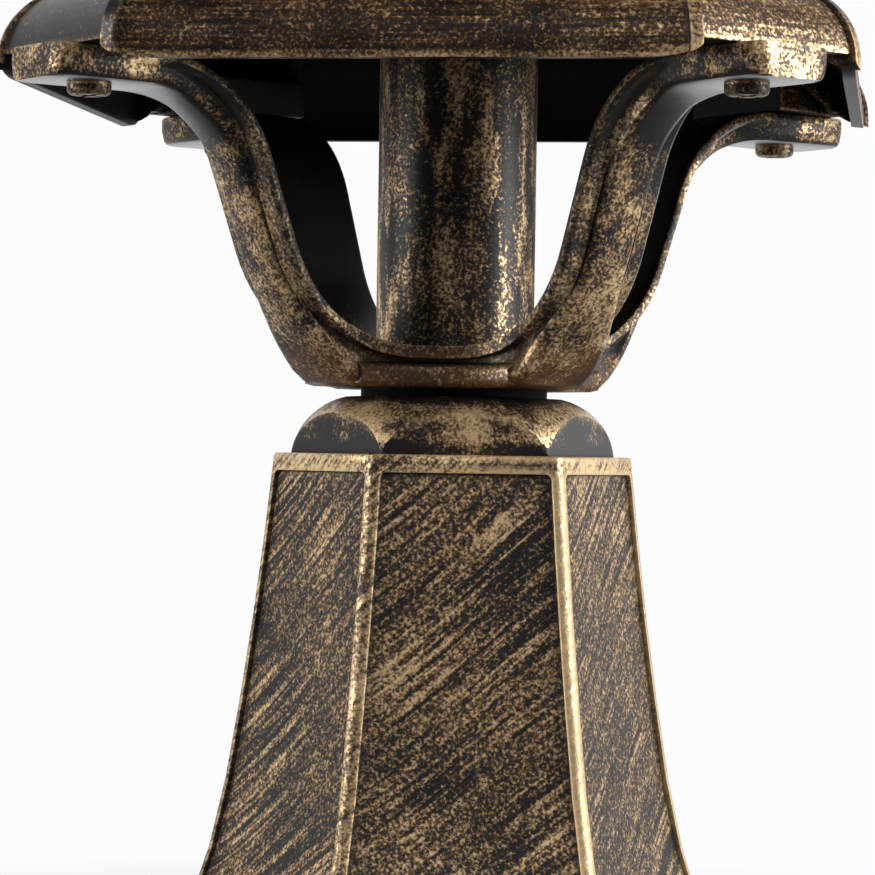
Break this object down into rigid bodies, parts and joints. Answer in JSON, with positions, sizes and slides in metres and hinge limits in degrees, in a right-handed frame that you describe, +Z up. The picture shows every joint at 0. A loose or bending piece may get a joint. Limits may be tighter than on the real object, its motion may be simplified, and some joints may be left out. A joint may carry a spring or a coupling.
{
  "type": "pier lantern",
  "caption": "Outdoor lantern on a flared hexagonal pedestal: a cast cradle and a tube carry a square glazed head with a hipped roof.",
  "frame": {"origin": "centre of the foot's underside, on the axis of the tube", "axes": "+Z up along the tube; +X and +Y square to the sides of the pan, and the pictured front faces -Y"},
  "size_m": [0.206, 0.206, 0.5388],
  "materials": {
    "body_metal": "black with brushed antique gold",
    "gasket": "matt black",
    "brass": "plain",
    "zinc_steel": "zinc plated",
    "porcelain": "glazed",
    "opal_glass": "opal",
    "clear_glass": "clear"
  },
  "bodies": {
    "root": {"pedestal": "body_metal", "neck_cap": "body_metal", "cradle": "body_metal", "cradle_screws": "body_metal", "stem_tube": "body_metal", "pan": "body_metal", "cage": "body_metal", "cage_screws": "body_metal", "roof": "body_metal", "finial": "body_metal", "neck_gasket": "gasket", "threaded_pipe": "brass", "pipe_nut": "brass", "pan_nut": "brass", "earth_screw": "brass", "lampholder_sleeve": "brass", "pipe_washer": "zinc_steel", "pan_washer": "zinc_steel", "pane_clips": "zinc_steel", "roof_strap": "zinc_steel", "roof_stud": "zinc_steel", "stud_nut": "zinc_steel", "lampholder_body": "porcelain", "bulb": "opal_glass", "glass_front": "clear_glass", "glass_right": "clear_glass", "glass_back": "clear_glass", "glass_left": "clear_glass"}
  },
  "joints": []
}
